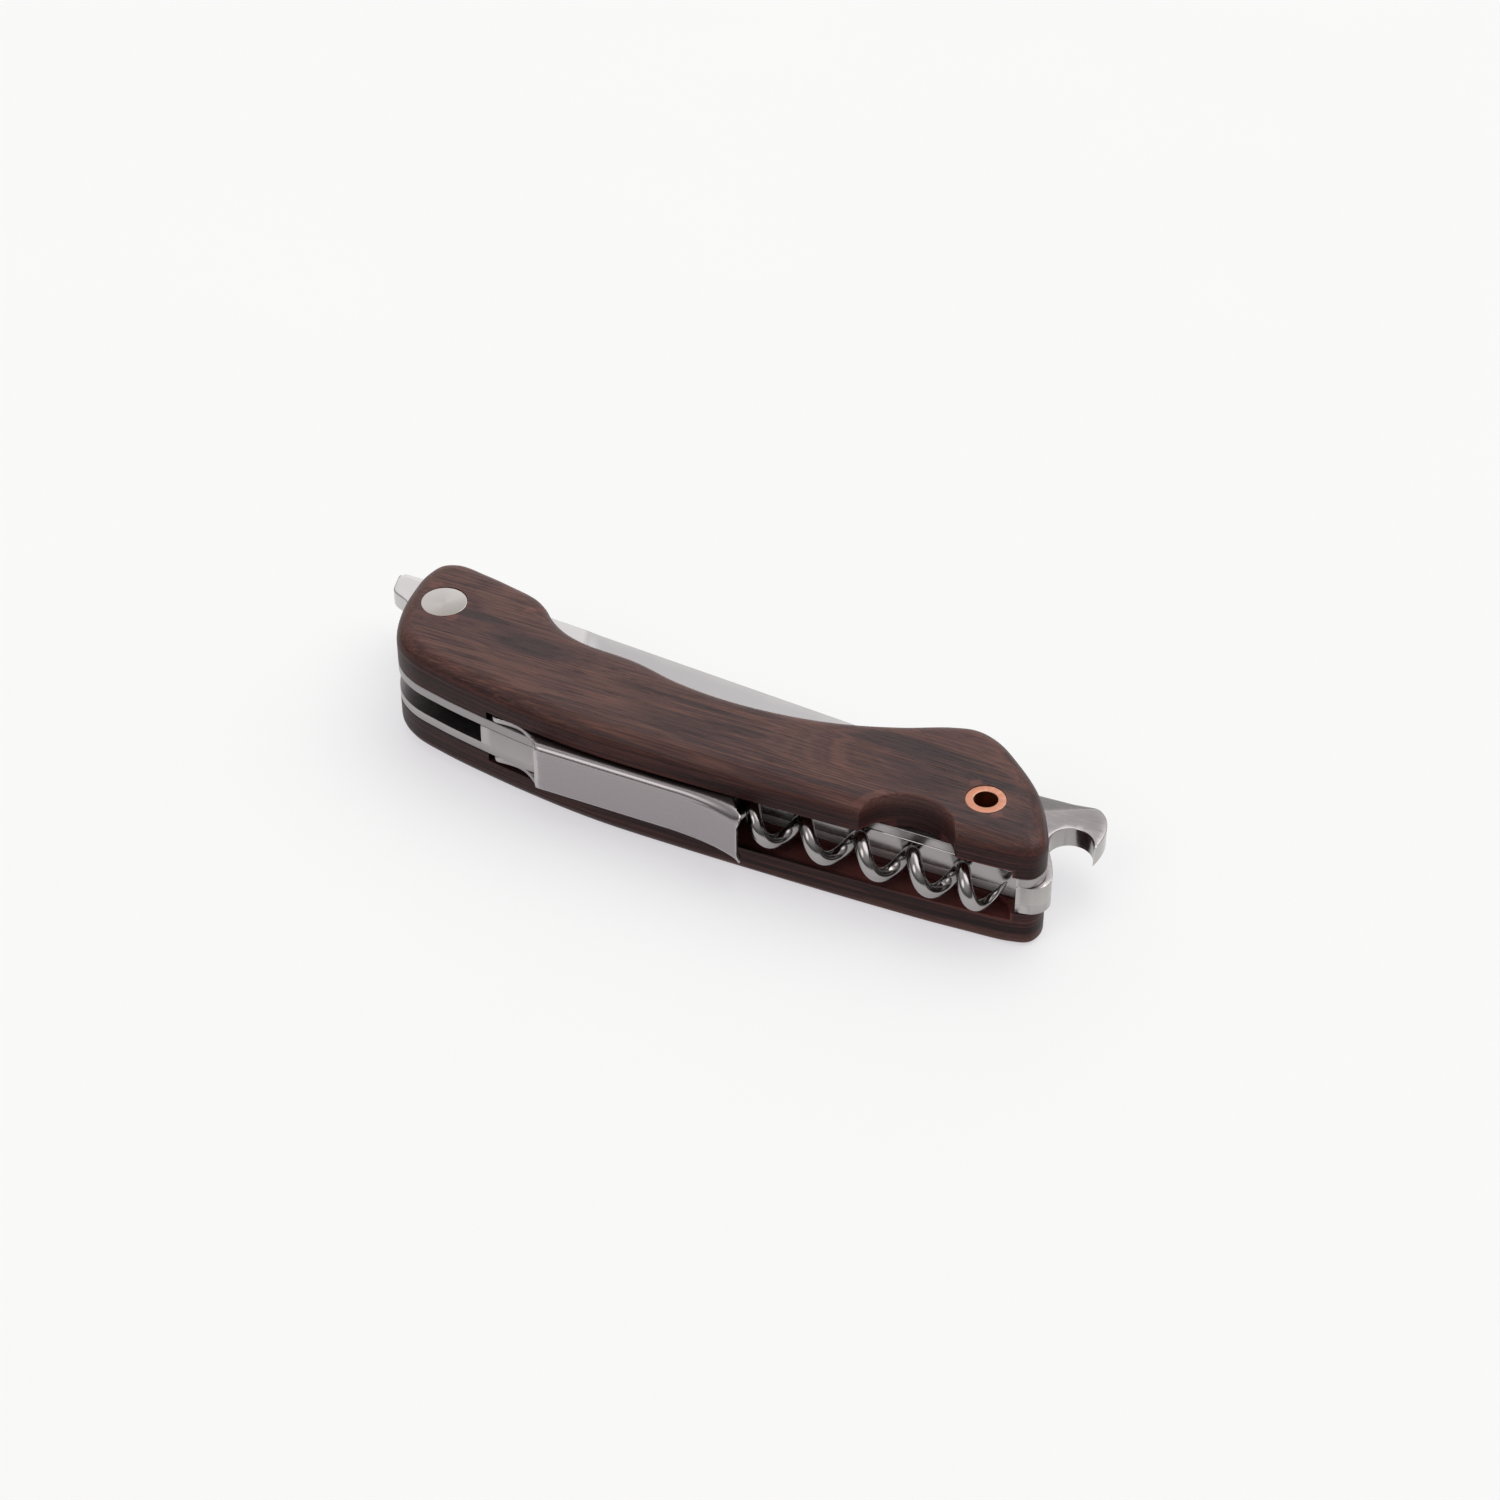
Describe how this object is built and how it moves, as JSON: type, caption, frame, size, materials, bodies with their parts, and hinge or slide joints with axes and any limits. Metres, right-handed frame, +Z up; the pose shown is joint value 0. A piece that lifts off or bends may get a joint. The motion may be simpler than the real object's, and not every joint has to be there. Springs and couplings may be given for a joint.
{
  "type": "waiters corkscrew",
  "caption": "Closed pocket corkscrew with a curved wooden handle, folding blade, folding lever, right-handed folding worm and a fixed hook for crown caps.",
  "frame": {"origin": "on the flat outer face of the lower wooden scale, near the middle of the handle, so z = 0 is the surface that the closed tool lies on", "axes": "+X along the handle towards the cap lifter, +Y towards the concave side where the blade opens, -Y towards the side where the lever and worm open, +Z up through the upper scale"},
  "size_m": [0.1233, 0.0347, 0.0192],
  "materials": {
    "rosewood": "oiled, semi-gloss, fine parallel grain with dark streaks",
    "satin_steel": "satin",
    "blade_steel": "fine brushed",
    "lever_steel": "satin, with brighter bends",
    "polished_steel": "polished",
    "copper": "polished copper",
    "bronze": "satin bronze"
  },
  "bodies": {
    "handle": {"upper_scale": "rosewood", "lower_scale": "rosewood", "upper_liner": "satin_steel", "lower_liner": "satin_steel", "backspacer": "satin_steel", "cap_lifter": "polished_steel", "front_spacer_pin": "satin_steel", "rear_spacer_pin": "satin_steel", "cap_lifter_pin": "satin_steel", "blade_stop_pin": "satin_steel", "worm_pivot_pin": "satin_steel", "lever_pivot_pin": "satin_steel", "lanyard_tube": "copper", "blade_pivot_barrel": "polished_steel", "blade_pivot_screw": "polished_steel", "upper_blade_washer": "bronze", "lower_blade_washer": "bronze", "detent_ball": "satin_steel"},
    "blade": {"blade": "blade_steel"},
    "lever": {"lever": "lever_steel"},
    "worm": {"worm": "polished_steel"}
  },
  "joints": [
    {"name": "blade_fold", "type": "hinge", "parent": "handle", "child": "blade", "pos_m": [-0.0526, 0.01, 0.0096], "axis": [0, 0, 1], "range_deg": [0, 180]},
    {"name": "lever_swing", "type": "hinge", "parent": "handle", "child": "lever", "pos_m": [-0.032, -0.0023, 0.0096], "axis": [0, 0, -1], "range_deg": [0, 86]},
    {"name": "worm_swing", "type": "hinge", "parent": "handle", "child": "worm", "pos_m": [-0.012, -0.003, 0.0096], "axis": [0, 0, -1], "range_deg": [0, 90]}
  ],
  "couplings": [
    {"joint": "worm_swing", "follows": "lever_swing", "ratio": 1.0465}
  ]
}
